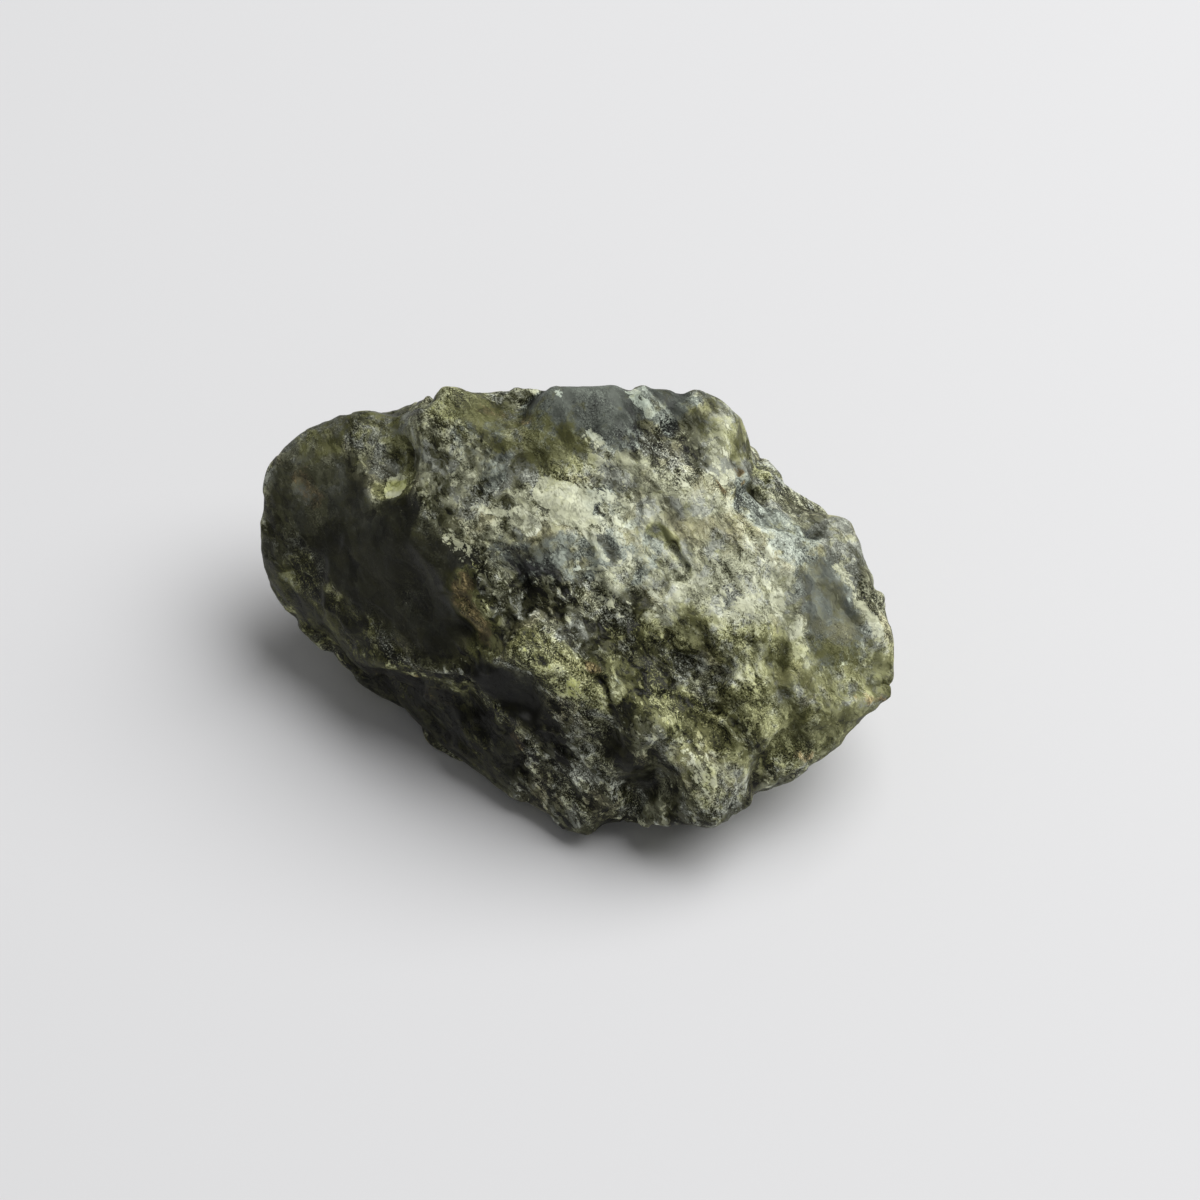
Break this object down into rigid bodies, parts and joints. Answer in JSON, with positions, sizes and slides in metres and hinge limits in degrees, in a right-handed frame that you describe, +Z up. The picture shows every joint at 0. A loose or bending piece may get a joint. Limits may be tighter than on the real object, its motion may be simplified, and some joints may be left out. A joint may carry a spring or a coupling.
{
  "type": "rough sapphire",
  "caption": "Rough sapphire: one broken, worn lump of dark green-grey corundum with a pale crust, lying on its flattest break.",
  "frame": {"origin": "on the surface that the stone rests on, under the middle of its outline", "axes": "+X along the stone's length, +Z up, square to the break that it rests on"},
  "size_m": [0.0356, 0.0216, 0.0174],
  "materials": {
    "corundum": "dark green-grey translucent corundum with pale cream crust, worn breaks half matt, smooth breaks a dull gloss"
  },
  "bodies": {
    "root": {"rough_sapphire": "corundum"}
  },
  "joints": []
}
